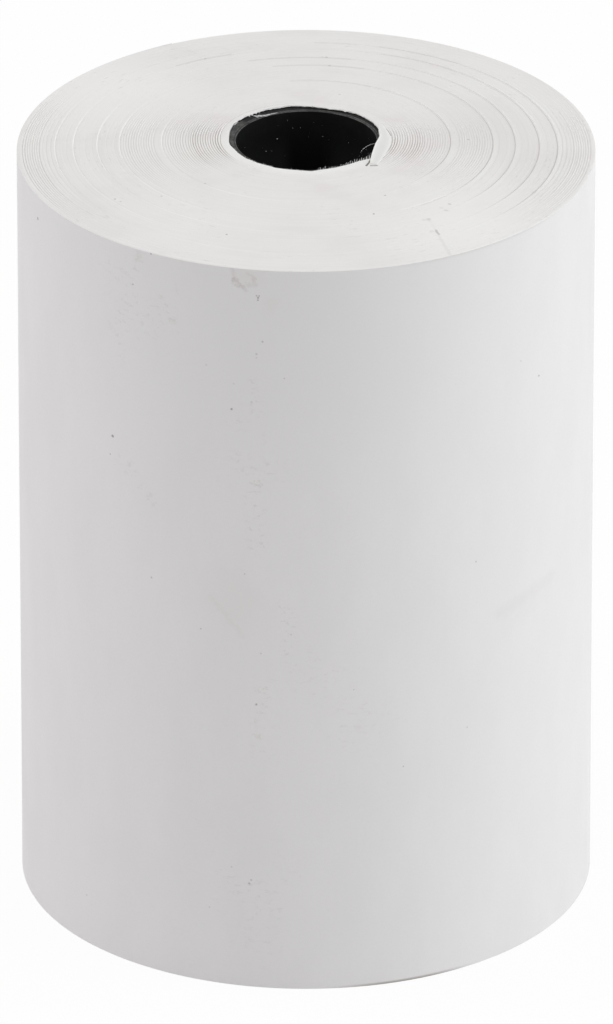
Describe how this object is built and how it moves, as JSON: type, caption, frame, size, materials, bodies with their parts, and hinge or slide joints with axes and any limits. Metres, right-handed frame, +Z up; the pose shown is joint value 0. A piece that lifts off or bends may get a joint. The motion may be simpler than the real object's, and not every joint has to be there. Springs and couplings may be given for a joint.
{
  "type": "thermal paper roll",
  "caption": "Plain white till roll: thermal paper strip wound on a thin black plastic core, domed end face with fine ring steps.",
  "frame": {"origin": "centre of the level ring of outer turns that the roll stands on", "axes": "+Z up along the winding axis; the folded inner end of the strip is towards +X, and the loose outer end is behind, at 118 degrees from +X"},
  "size_m": [0.0414, 0.0414, 0.0581],
  "materials": {
    "thermal_paper": "smooth off-white coated paper",
    "core_plastic": "black extruded plastic"
  },
  "bodies": {
    "root": {"paper_roll": "thermal_paper", "core": "core_plastic"}
  },
  "joints": []
}
